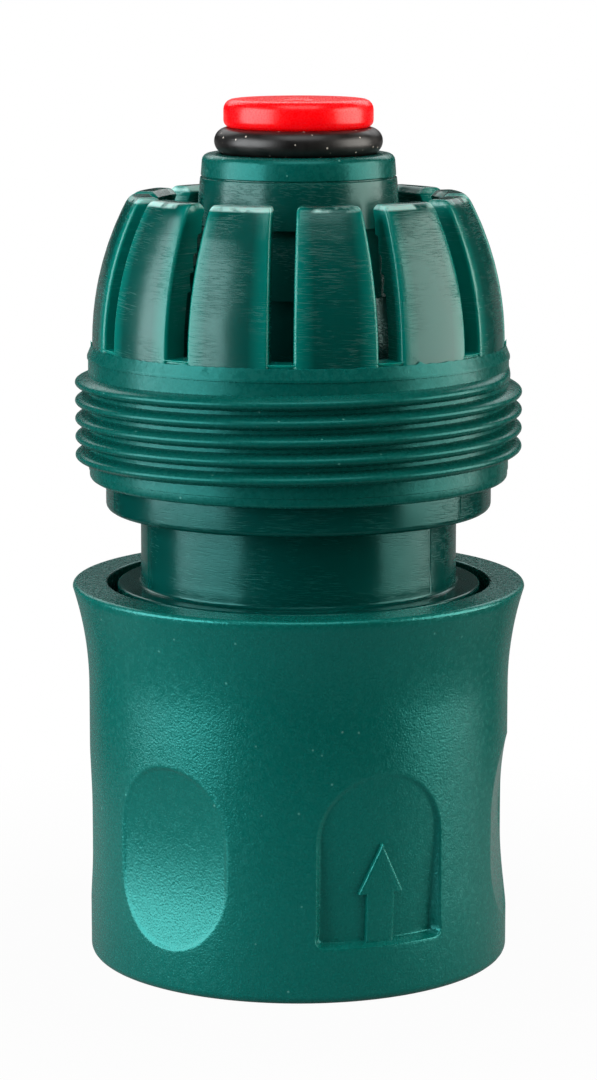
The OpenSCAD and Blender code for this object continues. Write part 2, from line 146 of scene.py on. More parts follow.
def buildPiece(name, shape):
    mesh = bpy.data.meshes.new(name)
    mesh.from_pydata([(x * mm, y * mm, z * mm) for x, y, z in shape[0]], [], shape[1])
    work = bmesh.new()
    work.from_mesh(mesh)
    bmesh.ops.remove_doubles(work, verts=work.verts, dist=0.0008 * mm)
    bmesh.ops.recalc_face_normals(work, faces=work.faces)
    work.to_mesh(mesh)
    work.free()
    piece = bpy.data.objects.new(name, mesh)
    scene.collection.objects.link(piece)
    return piece


def combine(piece, operation, shapes):
    # Adds or cuts closed shapes, one after the other, and keeps the resulting mesh
    tools = [buildPiece(f"tool{i}", shape) for i, shape in enumerate(shapes)]
    for tool in tools:
        step = piece.modifiers.new(tool.name, "BOOLEAN")
        step.operation = operation
        step.solver = "MANIFOLD"
        step.object = tool
    graph = bpy.context.evaluated_depsgraph_get()
    result = bpy.data.meshes.new_from_object(piece.evaluated_get(graph))
    piece.modifiers.clear()
    result.materials.clear()
    piece.data = result
    for tool in tools:
        bpy.data.objects.remove(tool)


def finishPiece(piece, body, materials, replaced, sharpest=38):
    for material in materials:
        piece.data.materials.append(material)
    for face in piece.data.polygons:
        face.material_index = 0
    piece.data.shade_smooth()
    piece.data.set_sharp_from_angle(angle=math.radians(sharpest))
    weighted = piece.modifiers.new("weightedNormals", "WEIGHTED_NORMAL")
    weighted.keep_sharp = True
    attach(piece, body)
    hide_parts(*replaced)


# Tools for materials

def hexToLinear(code):
    channels = [int(code[i:i + 2], 16) / 255 for i in (1, 3, 5)]
    return [c / 12.92 if c <= 0.04045 else ((c + 0.055) / 1.055) ** 2.4 for c in channels] + [1.0]


def addNode(tree, kind, inputs=None, **settings):
    node = tree.nodes.new(kind)
    for name, value in settings.items():
        setattr(node, name, value)
    for socket, value in (inputs or {}).items():
        if isinstance(value, bpy.types.NodeSocket):
            tree.links.new(value, node.inputs[socket])
        else:
            node.inputs[socket].default_value = value
    return node


def newMaterial(name):
    material = bpy.data.materials.new(name)
    material.use_nodes = True
    material.node_tree.nodes.clear()
    return material, material.node_tree


def millimetres(tree):
    # Object coordinates in millimetres
    place = addNode(tree, "ShaderNodeTexCoord").outputs["Object"]
    return addNode(tree, "ShaderNodeVectorMath", {0: place, 1: (1000, 1000, 1000)},
                   operation="MULTIPLY").outputs[0]


def aroundAxis(tree, place, radius):
    # The same place unrolled: x runs round the axis, y up it, z away from it, in millimetres
    parts = addNode(tree, "ShaderNodeSeparateXYZ", {0: place})
    turn = addNode(tree, "ShaderNodeMath", {0: parts.outputs[1], 1: parts.outputs[0]},
                   operation="ARCTAN2").outputs[0]
    along = addNode(tree, "ShaderNodeMath", {0: turn, 1: radius}, operation="MULTIPLY").outputs[0]
    flat = addNode(tree, "ShaderNodeVectorMath", {0: place, 1: (1, 1, 0)}, operation="MULTIPLY").outputs[0]
    away = addNode(tree, "ShaderNodeVectorMath", {0: flat}, operation="LENGTH").outputs["Value"]
    return addNode(tree, "ShaderNodeCombineXYZ", {0: along, 1: parts.outputs[2], 2: away}).outputs[0]


def spread(tree, value, low, high, toLow=0.0, toHigh=1.0):
    return addNode(tree, "ShaderNodeMapRange", {0: value, 1: low, 2: high, 3: toLow, 4: toHigh}).outputs[0]


# Polished polypropylene: moulded against a polished tool, so it mirrors the lights softly,
# and handling has left fine hairlines round it
polished = {
    "colour": "#00443e",
    "deepColour": "#003c37",
    "scuffColour": "#5fa79b",
    "roughness": 0.19,
    "scratchedRoughness": 0.36,
    "hairlineLength": 1.3,
    "hairlineWidth": 0.06,  # real ones are near 0.03, drawn coarser so that they show
    "hairlineDepth": 0.007,
    "rippleSize": 3.5,
    "rippleDepth": 0.05,
}

# Jaw polypropylene: the same plastic on the jaws, paler where the hose and the nut rub on it; its base is a shade
# lighter than the polished copy, partly worn whitening and partly painted light for the upward-tilted jaws, and it
# carries a painted glow beside the slots
rubbedAndLit = {**polished, "colour": "#004b44", "deepColour": "#00443d", "scuffColour": "#b9e4dc",
          "paintedGlowColour": "#008377", "roughness": 0.2, "scratchedRoughness": 0.36, "hairlineDepth": 0.009}

# Eroded polypropylene: the same plastic from a spark-eroded tool, with a fine satin grain
eroded = {
    "colour": "#00645b",
    "deepColour": "#005951",
    "scuffColour": "#6fb3a8",
    "roughness": 0.24,
    "grainSize": 0.17,
    "coarseGrainSize": 0.45,
    "grainDepth": 0.038,
}

# The thread and its collar: a finer grain, nearly smooth
satin = {**eroded, "colour": "#00574f", "deepColour": "#004e47", "roughness": 0.27, "grainDepth": 0.012}


def polishedPolypropylene(name, look, tint, onJaws=False):
    material, tree = newMaterial(name)
    place = millimetres(tree)
    unrolled = aroundAxis(tree, place, 16)
    cloud = addNode(tree, "ShaderNodeTexNoise", {"Vector": place, "Scale": 0.12, "Detail": 3}).outputs[0]
    stretched = addNode(tree, "ShaderNodeVectorMath",
                       {0: unrolled, 1: (1 / look["hairlineLength"], 1 / look["hairlineWidth"], 0.4)},
                       operation="MULTIPLY").outputs[0]
    lines = addNode(tree, "ShaderNodeTexNoise", {"Vector": stretched, "Scale": 1, "Detail": 1.5}).outputs[0]
    slanted = addNode(tree, "ShaderNodeVectorRotate",
                      {"Vector": unrolled, "Axis": (0, 0, 1), "Angle": math.radians(5)},
                      rotation_type="AXIS_ANGLE").outputs[0]
    slantedLong = addNode(tree, "ShaderNodeVectorMath",
                          {0: slanted, 1: (0.7 / look["hairlineLength"], 0.6 / look["hairlineWidth"], 0.4)},
                          operation="MULTIPLY").outputs[0]
    crossLines = addNode(tree, "ShaderNodeTexNoise", {"Vector": slantedLong, "Scale": 1, "Detail": 1}).outputs[0]
    worn = spread(tree, addNode(tree, "ShaderNodeTexNoise",
                                {"Vector": place, "Scale": 0.22, "Detail": 2}).outputs[0], 0.35, 0.65)
    fine = spread(tree, lines, 0.56, 0.66)
    crossed = spread(tree, crossLines, 0.6, 0.68)
    both = addNode(tree, "ShaderNodeMath", {0: fine, 1: crossed}, operation="MAXIMUM").outputs[0]
    facing = addNode(tree, "ShaderNodeSeparateXYZ", {0: addNode(tree, "ShaderNodeNewGeometry").outputs["Normal"]})
    steep = addNode(tree, "ShaderNodeMath", {0: facing.outputs[2]}, operation="ABSOLUTE").outputs[0]
    onWalls = addNode(tree, "ShaderNodeMath", {0: worn, 1: spread(tree, steep, 0.6, 0.85, 1, 0)},
                      operation="MULTIPLY").outputs[0]
    hairlines = addNode(tree, "ShaderNodeMath", {0: both, 1: onWalls}, operation="MULTIPLY").outputs[0]
    body = addNode(tree, "ShaderNodeMix", {0: cloud, 6: hexToLinear(look["deepColour"]),
                                           7: hexToLinear(look["colour"])}, data_type="RGBA").outputs[2]
    scuffShare = spread(tree, hairlines, 0, 1, 0, 0.025)
    if onJaws:
        # Towards the slots the colour is painted lighter: a painted glow that stands in for light coming through the
        # plastic there
        parts = addNode(tree, "ShaderNodeSeparateXYZ", {0: unrolled})
        sector = 2 * math.pi / jaws["count"] * 16
        shift = -math.radians(jaws["slotAt"]) * 16 / sector
        jaw = addNode(tree, "ShaderNodeMath", {0: parts.outputs[0], 1: 1 / sector, 2: shift},
                      operation="MULTIPLY_ADD").outputs[0]
        within = addNode(tree, "ShaderNodeMath", {0: jaw, 1: 1}, operation="FLOORED_MODULO").outputs[0]
        middle = addNode(tree, "ShaderNodeMath", {0: within, 1: 0.5}, operation="SUBTRACT").outputs[0]
        aside = addNode(tree, "ShaderNodeMath", {0: middle}, operation="ABSOLUTE").outputs[0]
        outside = spread(tree, parts.outputs[2], 9.5, 10)
        lit = addNode(tree, "ShaderNodeMath", {0: spread(tree, aside, 0.2, 0.42), 1: outside},
                      operation="MULTIPLY").outputs[0]
        body = addNode(tree, "ShaderNodeMix", {0: lit, 6: body, 7: hexToLinear(look["paintedGlowColour"])},
                       data_type="RGBA").outputs[2]
        # Stress whitening where the tops of the jaws rub on the nut
        tops = jaws["foot"] + jaws["height"]
        rising = spread(tree, parts.outputs[1], tops - 0.5, tops - 0.35)
        level = spread(tree, parts.outputs[1], tops - 0.12, tops - 0.04, 1, 0.3)
        onEdge = addNode(tree, "ShaderNodeMath", {0: rising, 1: level}, operation="MULTIPLY").outputs[0]
        near = addNode(tree, "ShaderNodeMath", {0: onEdge, 1: outside}, operation="MULTIPLY").outputs[0]
        ragged = addNode(tree, "ShaderNodeTexNoise", {"Vector": place, "Scale": 0.45, "Detail": 5}).outputs[0]
        whitened = addNode(tree, "ShaderNodeMath", {0: near, 1: spread(tree, ragged, 0.44, 0.55)},
                           operation="MULTIPLY").outputs[0]
        scuffShare = addNode(tree, "ShaderNodeMath", {0: scuffShare, 1: spread(tree, whitened, 0, 1, 0, 0.75)},
                             operation="MAXIMUM").outputs[0]
    colour = addNode(tree, "ShaderNodeMix", {0: scuffShare, 6: body, 7: hexToLinear(look["scuffColour"])},
                     data_type="RGBA").outputs[2]
    roughness = spread(tree, hairlines, 0, 1, look["roughness"], look["scratchedRoughness"])
    ripple = addNode(tree, "ShaderNodeTexNoise",
                     {"Vector": place, "Scale": 1 / look["rippleSize"], "Detail": 1}).outputs[0]
    waved = addNode(tree, "ShaderNodeBump", {"Height": ripple, "Strength": 0.5,
                                             "Distance": look["rippleDepth"] * mm}).outputs[0]
    cut = addNode(tree, "ShaderNodeBump", {"Height": hairlines, "Strength": 1.0, "Normal": waved,
                                           "Distance": look["hairlineDepth"] * mm}, invert=True).outputs[0]
    shader = addNode(tree, "ShaderNodeBsdfPrincipled",
                     {"Base Color": colour, "Roughness": roughness, "Normal": cut, "IOR": 1.49,
                      "Specular Tint": tint, "Subsurface Weight": 0.4,
                      "Subsurface Radius": (0.1, 1.0, 0.85), "Subsurface Scale": 0.0012})
    addNode(tree, "ShaderNodeOutputMaterial", {"Surface": shader.outputs[0]})
    return material


def erodedPolypropylene(name, look, tint, gloss):
    material, tree = newMaterial(name)
    place = millimetres(tree)
    cloud = addNode(tree, "ShaderNodeTexNoise", {"Vector": place, "Scale": 0.1, "Detail": 4}).outputs[0]
    grain = addNode(tree, "ShaderNodeTexNoise",
                    {"Vector": place, "Scale": 1 / look["grainSize"], "Detail": 2}).outputs[0]
    coarse = addNode(tree, "ShaderNodeTexNoise",
                     {"Vector": place, "Scale": 1 / look["coarseGrainSize"], "Detail": 2}).outputs[0]
    pits = addNode(tree, "ShaderNodeMath", {0: coarse, 1: 0.3, 2: grain}, operation="MULTIPLY_ADD").outputs[0]
    specks = addNode(tree, "ShaderNodeTexVoronoi", {"Vector": place, "Scale": 0.55}).outputs["Distance"]
    dust = spread(tree, specks, 0.06, 0.04)
    body = addNode(tree, "ShaderNodeMix", {0: cloud, 6: hexToLinear(look["deepColour"]),
                                           7: hexToLinear(look["colour"])}, data_type="RGBA").outputs[2]
    lift = spread(tree, pits, 0.5, 0.9, 0, 0.04)
    share = addNode(tree, "ShaderNodeMath", {0: lift, 1: spread(tree, dust, 0, 1, 0, 0.6)},
                    operation="MAXIMUM").outputs[0]
    colour = addNode(tree, "ShaderNodeMix", {0: share, 6: body, 7: hexToLinear(look["scuffColour"])},
                     data_type="RGBA").outputs[2]
    roughness = spread(tree, coarse, 0.3, 0.7, look["roughness"] - 0.05, look["roughness"] + 0.07)
    relief = addNode(tree, "ShaderNodeBump", {"Height": pits, "Strength": 0.8,
                                              "Distance": look["grainDepth"] * mm}).outputs[0]
    shader = addNode(tree, "ShaderNodeBsdfPrincipled",
                     {"Base Color": colour, "Roughness": roughness, "Normal": relief, "IOR": 1.49,
                      "Specular Tint": tint, "Specular IOR Level": gloss,
                      "Subsurface Weight": 0.25, "Subsurface Radius": (0.1, 1.0, 0.85),
                      "Subsurface Scale": 0.001})
    addNode(tree, "ShaderNodeOutputMaterial", {"Surface": shader.outputs[0]})
    return material


# Glossy red polypropylene: bright pigment; on the head it carries a painted glow, an emission that stands in for light
# scattering through the red plastic
redPlastic = {"colour": "#ff000a", "paleColour": "#ff1418", "roughness": 0.27, "rippleSize": 1.3,
              "glow": 0.36, "paintedGlowFrom": 68.9}


def redPolypropylene(name, look):
    material, tree = newMaterial(name)
    place = millimetres(tree)
    cloud = addNode(tree, "ShaderNodeTexNoise", {"Vector": place, "Scale": 0.5, "Detail": 3}).outputs[0]
    colour = addNode(tree, "ShaderNodeMix", {0: spread(tree, cloud, 0.4, 0.8), 6: hexToLinear(look["colour"]),
                                             7: hexToLinear(look["paleColour"])}, data_type="RGBA").outputs[2]
    fine = addNode(tree, "ShaderNodeTexNoise", {"Vector": place, "Scale": 7, "Detail": 2}).outputs[0]
    ripple = addNode(tree, "ShaderNodeTexNoise",
                     {"Vector": place, "Scale": 1 / look["rippleSize"], "Detail": 2}).outputs[0]
    roughness = spread(tree, fine, 0.3, 0.7, look["roughness"] - 0.06, look["roughness"] + 0.08)
    waved = addNode(tree, "ShaderNodeBump", {"Height": ripple, "Strength": 0.5, "Distance": 0.03 * mm}).outputs[0]
    relief = addNode(tree, "ShaderNodeBump", {"Height": fine, "Strength": 0.4, "Distance": 0.006 * mm,
                                              "Normal": waved}).outputs[0]
    height = addNode(tree, "ShaderNodeSeparateXYZ", {0: place}).outputs[2]
    # Painted glow: emission on the head that stands in for light scattered through the plastic
    inside = spread(tree, height, look["paintedGlowFrom"], look["paintedGlowFrom"] + 0.3, 0, look["glow"])
    shader = addNode(tree, "ShaderNodeBsdfPrincipled",
                     {"Base Color": colour, "Roughness": roughness, "Normal": relief, "IOR": 1.49,
                      "Specular IOR Level": 0.4, "Subsurface Weight": 1.0, "Subsurface Radius": (1.0, 0.03, 0.03),
                      "Subsurface Scale": 0.008, "Emission Color": hexToLinear(look["colour"]),
                      "Emission Strength": inside})
    addNode(tree, "ShaderNodeOutputMaterial", {"Surface": shader.outputs[0]})
    return material


# Nitrile rubber: black, silky from its mould, and it holds pale dust
rubber = {"colour": "#0d0b0b", "bloomColour": "#1a1817", "dustColour": "#cfc6ba", "roughness": 0.34}


def nitrileRubber(name, look):
    material, tree = newMaterial(name)
    place = millimetres(tree)
    bloom = addNode(tree, "ShaderNodeTexNoise", {"Vector": place, "Scale": 0.6, "Detail": 4}).outputs[0]
    body = addNode(tree, "ShaderNodeMix", {0: spread(tree, bloom, 0.35, 0.7), 6: hexToLinear(look["colour"]),
                                           7: hexToLinear(look["bloomColour"])}, data_type="RGBA").outputs[2]
    cells = addNode(tree, "ShaderNodeTexVoronoi", {"Vector": place, "Scale": 1.5, "Randomness": 1})
    rare = spread(tree, addNode(tree, "ShaderNodeSeparateColor",
                                {0: cells.outputs["Color"]}).outputs[0], 0.4, 0.42)
    dot = spread(tree, cells.outputs["Distance"], 0.15, 0.09)
    dust = addNode(tree, "ShaderNodeMath", {0: rare, 1: dot}, operation="MULTIPLY").outputs[0]
    colour = addNode(tree, "ShaderNodeMix", {0: dust, 6: body, 7: hexToLinear(look["dustColour"])},
                     data_type="RGBA").outputs[2]
    fine = addNode(tree, "ShaderNodeTexNoise", {"Vector": place, "Scale": 6, "Detail": 2}).outputs[0]
    roughness = spread(tree, bloom, 0.3, 0.7, look["roughness"] - 0.05, look["roughness"] + 0.1)
    relief = addNode(tree, "ShaderNodeBump", {"Height": fine, "Strength": 0.4, "Distance": 0.01 * mm}).outputs[0]
    shader = addNode(tree, "ShaderNodeBsdfPrincipled",
                     {"Base Color": colour, "Roughness": roughness, "Normal": relief, "IOR": 1.52})
    addNode(tree, "ShaderNodeOutputMaterial", {"Surface": shader.outputs[0]})
    return material


# Drawn stainless wire: bright, with fine lines from the die along its length
wire = {"colour": "#b9babd", "dullColour": "#8f8f90", "roughness": 0.3}


def drawnWire(name, look):
    material, tree = newMaterial(name)
    place = millimetres(tree)
    unrolled = aroundAxis(tree, place, 14)
    drawn = addNode(tree, "ShaderNodeVectorMath", {0: unrolled, 1: (0.25, 9, 9)}, operation="MULTIPLY").outputs[0]
    lines = addNode(tree, "ShaderNodeTexNoise", {"Vector": drawn, "Scale": 1, "Detail": 2}).outputs[0]
    colour = addNode(tree, "ShaderNodeMix", {0: spread(tree, lines, 0.35, 0.65), 6: hexToLinear(look["colour"]),
                                             7: hexToLinear(look["dullColour"])}, data_type="RGBA").outputs[2]
    roughness = spread(tree, lines, 0.3, 0.7, look["roughness"] - 0.08, look["roughness"] + 0.12)
    relief = addNode(tree, "ShaderNodeBump", {"Height": lines, "Strength": 0.4, "Distance": 0.01 * mm}).outputs[0]
    shader = addNode(tree, "ShaderNodeBsdfPrincipled",
                     {"Base Color": colour, "Roughness": roughness, "Normal": relief, "Metallic": 1.0})
    addNode(tree, "ShaderNodeOutputMaterial", {"Surface": shader.outputs[0]})
    return material


# Connector body: hose stem, jaws, nut thread, collars, neck, flange and socket tube
body = {
    "socketRadius": 8.6, "mouthRadius": 8.85, "mouthChamfer": 0.9, "sealBoreFrom": 9.3, "socketDepth": 17.5,
    "chamberRadius": 8.0, "chamberTop": 33.0, "flowRadius": 6.3,
    "tubeRadius": 11.8, "upperTubeRadius": 10.9, "tubeStep": 21.1,
    "flangeRadius": 15.03, "flangeFrom": 29.9, "flangeTop": 31.4, "neckRadius": 13.06,
    "lowerCollarRadius": 15.91, "lowerCollarFrom": 37.63, "upperCollarRadius": 17.24, "upperCollarFrom": 40.16,
    "collarRound": 0.5, "bandRadius": 17.38, "bandFrom": 50.09, "bandEdge": 50.32,
    "slotFloor": 51.45, "wideRoomRadius": 14.5, "wideRoomFloor": 42.9, "hoseRoomRadius": 11.2, "hoseRoomFloor": 36.0,
    "stemRadius": 8.33, "stemRootRadius": 7.78, "firstBarb": 61.06, "barbStep": 5.6, "stemTop": 66.79,
    "seams": [-35, 82, -160.5],
}
jaws = {
    "count": 12, "slotAt": -94.7, "slotWidth": 1.95, "foot": 51.29, "height": 12.2,
    "outerRadius": 16.95, "thickness": 2.43, "lean": 2.92, "arcHeight": 11.7,
    "edgeRound": 0.24, "toothDepth": 0.4, "toothCount": 4, "toothLead": 0.8, "toothStep": 1.5, "toothRise": 1.1,
}
thread = {
    "rootRadius": 17.30, "foot": 41.0, "depth": 1.13, "pitch": 1.5, "turns": 4.75, "startsAt": 102,
    "firstCrest": 41.795, "halfWidth": 0.615, "fade": 0.2, "stepsPerTurn": 144, "pointsAcross": 13,
}
guides = {"radius": 12.6, "width": 2.4, "from": 11.9, "catchWidth": 6.0, "catchHeight": 3.4}
claws = {"count": 4, "foot": 3.1, "height": 8.8, "width": 9.0, "hookWidth": 7.0, "hookFrom": 5.6, "hookHeight": 3.3,
         "gap": 0.15, "recessRadius": 10.2}
cone = {"ledgeRadius": 12.1, "ledgeFrom": 12.5, "slope": 0.24, "gap": 0.1}


def coneRadius(z):
    return cone["ledgeRadius"] + (cone["ledgeFrom"] - z) * cone["slope"]


def bodyOutline():
    stemEdge = body["stemRadius"] - 0.35
    barbs = []
    for k in (3, 2, 1, 0):
        z = body["firstBarb"] - body["barbStep"] * k
        barbs += [(body["stemRootRadius"], z), (body["stemRadius"], z, 0.07)]
    corners = [
        (body["mouthRadius"] + body["mouthChamfer"], 0, 0.1), (body["tubeRadius"], 0, 0.35),
        (body["tubeRadius"], body["tubeStep"], 0.3), (body["upperTubeRadius"], body["tubeStep"] + 0.9, 0.3),
        (body["upperTubeRadius"], body["flangeFrom"], 0.4), (body["flangeRadius"], body["flangeFrom"], 0.15),
        (body["flangeRadius"], body["flangeTop"], 0.22), (body["neckRadius"], body["flangeTop"], 0.3),
        (body["neckRadius"], body["lowerCollarFrom"], 0.12),
        (body["lowerCollarRadius"], body["lowerCollarFrom"], body["collarRound"]),
        (body["lowerCollarRadius"], body["upperCollarFrom"], 0.08),
        (body["upperCollarRadius"], body["upperCollarFrom"], body["collarRound"]),
        (body["upperCollarRadius"], thread["foot"] - 0.04), (thread["rootRadius"], thread["foot"]),
        (thread["rootRadius"], body["bandFrom"]), (body["bandRadius"], body["bandFrom"] + 0.04),
        (body["bandRadius"], body["bandEdge"], 0.25),
        (17.05, 51.13, 0.04), (16.78, 51.18, 0.03), (16.78, 51.32, 0.03), (16.93, 51.37, 0.03),
        (16.93, body["slotFloor"], 0.05), (body["wideRoomRadius"], body["slotFloor"], 0.05),
        (body["wideRoomRadius"], body["wideRoomFloor"], 0.3),
        (body["hoseRoomRadius"], body["wideRoomFloor"] - 1.6, 0.3),
        (body["hoseRoomRadius"], body["hoseRoomFloor"], 0.4), (body["stemRootRadius"], body["hoseRoomFloor"], 0.3),
    ]
    corners += barbs
    corners += [
        (stemEdge + 0.1, body["stemTop"] - 2.35, 0.3), (stemEdge + 0.05, body["stemTop"] - 1.92, 0.05),
        (stemEdge - 0.1, body["stemTop"] - 1.87, 0.03), (stemEdge - 0.1, body["stemTop"] - 1.79, 0.03),
        (stemEdge, body["stemTop"] - 1.74, 0.05), (stemEdge - 0.13, body["stemTop"], 0.6),
        (body["flowRadius"], body["stemTop"], 0.12), (body["flowRadius"], body["chamberTop"], 0.1),
        (body["chamberRadius"], body["chamberTop"], 0.2), (body["chamberRadius"], body["socketDepth"], 0.1),
        (body["socketRadius"], body["socketDepth"], 0.1), (body["socketRadius"], body["sealBoreFrom"] + 0.2),
        (body["mouthRadius"], body["sealBoreFrom"]), (body["mouthRadius"], body["mouthChamfer"], 0.2),
    ]
    return roundCorners(corners)


def jawLean(h):
    curve = (jaws["arcHeight"] ** 2 + jaws["lean"] ** 2) / (2 * jaws["lean"])
    reach = max(0, min(h, jaws["arcHeight"]))
    return curve - math.sqrt(curve * curve - reach * reach)


def jawSection(h, outerCut, sideCut, innerCut, turn):
    # Cross-section of one jaw: its sides are parallel to the slots beside it
    outer = jaws["outerRadius"] - jawLean(h) - outerCut
    inner = jaws["outerRadius"] - jaws["thickness"] - jawLean(h) + innerCut
    halfTurn = math.pi / jaws["count"]

    def sideAt(radius):
        return radius * math.sin(halfTurn - math.asin((jaws["slotWidth"] / 2 + sideCut) / radius))

    outerSide = sideAt(outer)
    innerSide = sideAt(inner)
    spans = 8
    corners = [(outer, outerSide * (2 * i / spans - 1)) for i in range(spans + 1)]
    corners[0] = (*corners[0], jaws["edgeRound"])
    corners[-1] = (*corners[-1], jaws["edgeRound"])
    corners += [(inner, innerSide, 0.12), (inner, innerSide / 3), (inner, -innerSide / 3), (inner, -innerSide, 0.12)]
    flat = roundCorners(corners, 3)
    section = [(math.sqrt(r * r - y * y), y, jaws["foot"] + h) for r, y in flat]
    return turned(section, turn)


def jawShape(index):
    turn = jaws["slotAt"] + (index + 0.5) * 360 / jaws["count"]
    levels = [(-0.4, 0, 0, 0), (0.4, 0, 0, 0), (1.4, 0, 0, 0), (2.5, 0, 0, 0), (3.6, 0, 0, 0), (4.6, 0, 0, 0)]
    for k in reversed(range(jaws["toothCount"])):
        crest = jaws["arcHeight"] - jaws["toothLead"] - jaws["toothStep"] * k
        foot = crest - jaws["toothRise"]
        levels += [(foot - 0.1, 0, 0, 0), (foot, 0, 0, -jaws["toothDepth"]), (crest, 0, 0, 0)]
    levels += [(11.3, 0, 0, 0), (11.6, 0.01, 0, 0.04), (11.72, 0.04, 0, 0.1), (11.82, 0.1, 0.01, 0.2),
               (11.95, 0.22, 0.03, 0.33), (12.06, 0.35, 0.06, 0.45), (12.14, 0.47, 0.12, 0.56),
               (12.185, 0.58, 0.2, 0.66), (jaws["height"], 0.72, 0.3, 0.78)]
    return loft([jawSection(*level, turn) for level in levels])


def threadRidge():
    steps = round(thread["stepsPerTurn"] * thread["turns"])
    across = [2 * i / (thread["pointsAcross"] - 1) - 1 for i in range(thread["pointsAcross"])]
    heights = [thread["depth"] * (1 - abs(u) ** 2.2) ** 0.85 for u in across]
    sections = []
    for i in range(steps + 1):
        t = i / thread["stepsPerTurn"]
        grown = max(0, min(1, t / thread["fade"], (thread["turns"] - t) / thread["fade"]))
        grown = grown * grown * (3 - 2 * grown)
        crest = thread["firstCrest"] + thread["pitch"] * t
        section = [(thread["rootRadius"] - 0.03 + height * grown, 0, crest + u * thread["halfWidth"])
                   for u, height in zip(across, heights)]
        section += [(thread["rootRadius"] - 0.5, 0, crest + side * thread["halfWidth"]) for side in (1, -1)]
        sections.append(turned(section, thread["startsAt"] + 360 * t))
    return loft(sections)


def flashFin():
    # Thin ragged fin of plastic where the two halves of the tool met, at the feet of the jaws
    random.seed(4)
    count = 360
    raised = [0.02 + 0.07 * random.random() ** 2 for _ in range(count)]
    for spike, height in ((0, 0.42), (181, 0.34), (304, 0.3), (46, 0.2), (120, 0.25), (238, 0.16)):
        raised[spike] = height
        raised[(spike + 1) % count] = height * 0.5
    sections = []
    for i in range(count):
        section = [(16.8, 0, 51.04), (17.08, 0, 51.04), (17.04 + 0.15 * raised[i], 0, 51.13 + raised[i])]
        sections.append(turned(section, i))
    return loft(sections, closed=True)


def seamRib(degrees, radius, low, high, proud=0.035, halfWidth=0.06):
    section = [(radius - 0.2, -halfWidth), (radius + proud * 0.6, -halfWidth), (radius + proud, 0),
               (radius + proud * 0.6, halfWidth), (radius - 0.2, halfWidth)]
    return loft([turned([(x, y, z) for x, y in section], degrees) for z in (low, high)])


def makeBody(smooth, grained, rubbedAndLitSmooth):
    piece = buildPiece("connectorBody", lathe(bodyOutline(), start=jaws["slotAt"]))
    quarter = [i * 360 / claws["count"] for i in range(claws["count"])]
    ribs = [curvedBar([(guides["from"], 10.4, guides["radius"]), (body["flangeFrom"] + 0.3, 10.4, guides["radius"])],
                      guides["width"], turn + 45) for turn in quarter]
    top = guides["from"]
    low = top - guides["catchHeight"]
    catches = [curvedBar([(low - 0.9, 10.7, body["tubeRadius"] - 0.05), (low, 10.7, coneRadius(low) - cone["gap"]),
                          (top, 10.7, coneRadius(top) - cone["gap"])], guides["catchWidth"], turn + 45)
               for turn in quarter]
    seams = [seamRib(turn, body["neckRadius"], body["flangeTop"] + 0.02, body["lowerCollarFrom"] + 0.1)
             for turn in body["seams"]]
    seams += [seamRib(turn, body["lowerCollarRadius"], body["lowerCollarFrom"] + 0.45,
                      body["upperCollarFrom"] + 0.1) for turn in body["seams"]]
    combine(piece, "UNION", [gather([jawShape(i) for i in range(jaws["count"])]), threadRidge(), flashFin(),
                             gather(ribs), gather(catches), gather(seams)])
    gap = claws["gap"]
    recess = [(claws["foot"] - gap, claws["recessRadius"], body["tubeRadius"] + 1.2),
              (claws["foot"] + claws["height"] + gap, claws["recessRadius"], body["tubeRadius"] + 1.2)]
    window = [(claws["hookFrom"] - gap, body["socketRadius"] - 3, claws["recessRadius"] + 0.3),
              (claws["hookFrom"] + claws["hookHeight"] + gap, body["socketRadius"] - 3, claws["recessRadius"] + 0.3)]
    combine(piece, "DIFFERENCE", [
        gather([curvedBar(recess, claws["width"] + 2 * gap, turn) for turn in quarter]),
        gather([curvedBar(window, claws["hookWidth"] + 2 * gap, turn) for turn in quarter])])
    finishPiece(piece, "connector", [smooth, grained, rubbedAndLitSmooth], ["connector_body"])
    for face in piece.data.polygons:
        x, y, z = (c / mm for c in face.center)
        r = math.hypot(x, y)
        onBand = 40.2 < z < 51.22 and r > 16.5
        onTip = z > body["stemTop"] - 1.75 and 6.35 < r < 8.6
        onJaws = z > 51.22 and r > 9.5 or z > 57
        face.material_index = 1 if onBand or onTip else 2 if onJaws else 0
    return piece


# Grip sleeve: straight sides, flared rim, six finger dents, one of them with an arrow
sleeve = {
    "radius": 17.45, "height": 31.5, "footRound": 0.7, "rimRound": 0.35, "rimFlare": 1.29, "flareHeight": 8.4,
    "rimInner": 15.88, "springRoom": 15.35, "springRoomTop": 22.0, "ledgeTop": 15.5,
    "patchFrom": 1.9, "patchTo": 20.4, "columnsPerDent": 32, "rowsPerDent": 32,
    "notchWidth": 2.8, "notchRadius": 12.9, "notchFrom": 8.67,
}
dents = {
    "count": 6, "arrowAt": -67.1, "width": 10.9, "foot": 3.65, "height": 15.0, "depth": 0.98, "runOut": 0.5,
    "edgeOut": 0.14, "edgeIn": 0.3, "ledge": 4.8, "fieldDepth": 1.05, "ledgeEdgeOut": 0.26, "ledgeEdgeIn": 0.14,
}
arrow = {"rise": 0.4, "headWidth": 4.0, "shaftWidth": 2.5, "headLength": 4.05, "length": 8.1, "bevel": 0.2}


def outlineDistance(s, z, withArrow):
    # Distance to a dent's outline, negative inside it
    half = dents["width"] / 2
    middle = dents["foot"] + dents["height"] / 2
    straight = dents["height"] / 2 - half
    if not withArrow or z > middle + straight:
        return math.hypot(s, max(0, abs(z - middle) - straight)) - half
    corner = 0.5
    across = abs(s) - (half - corner)
    down = dents["ledge"] + corner - z
    return math.hypot(max(across, 0), max(down, 0)) + min(max(across, down), 0) - corner


def fieldRadius(z):
    # Behind the arrow the wall dips in towards the ledge
    top = dents["foot"] + dents["height"] + dents["runOut"]
    return sleeve["radius"] - dents["fieldDepth"] * (top - z) / (top - dents["ledge"])


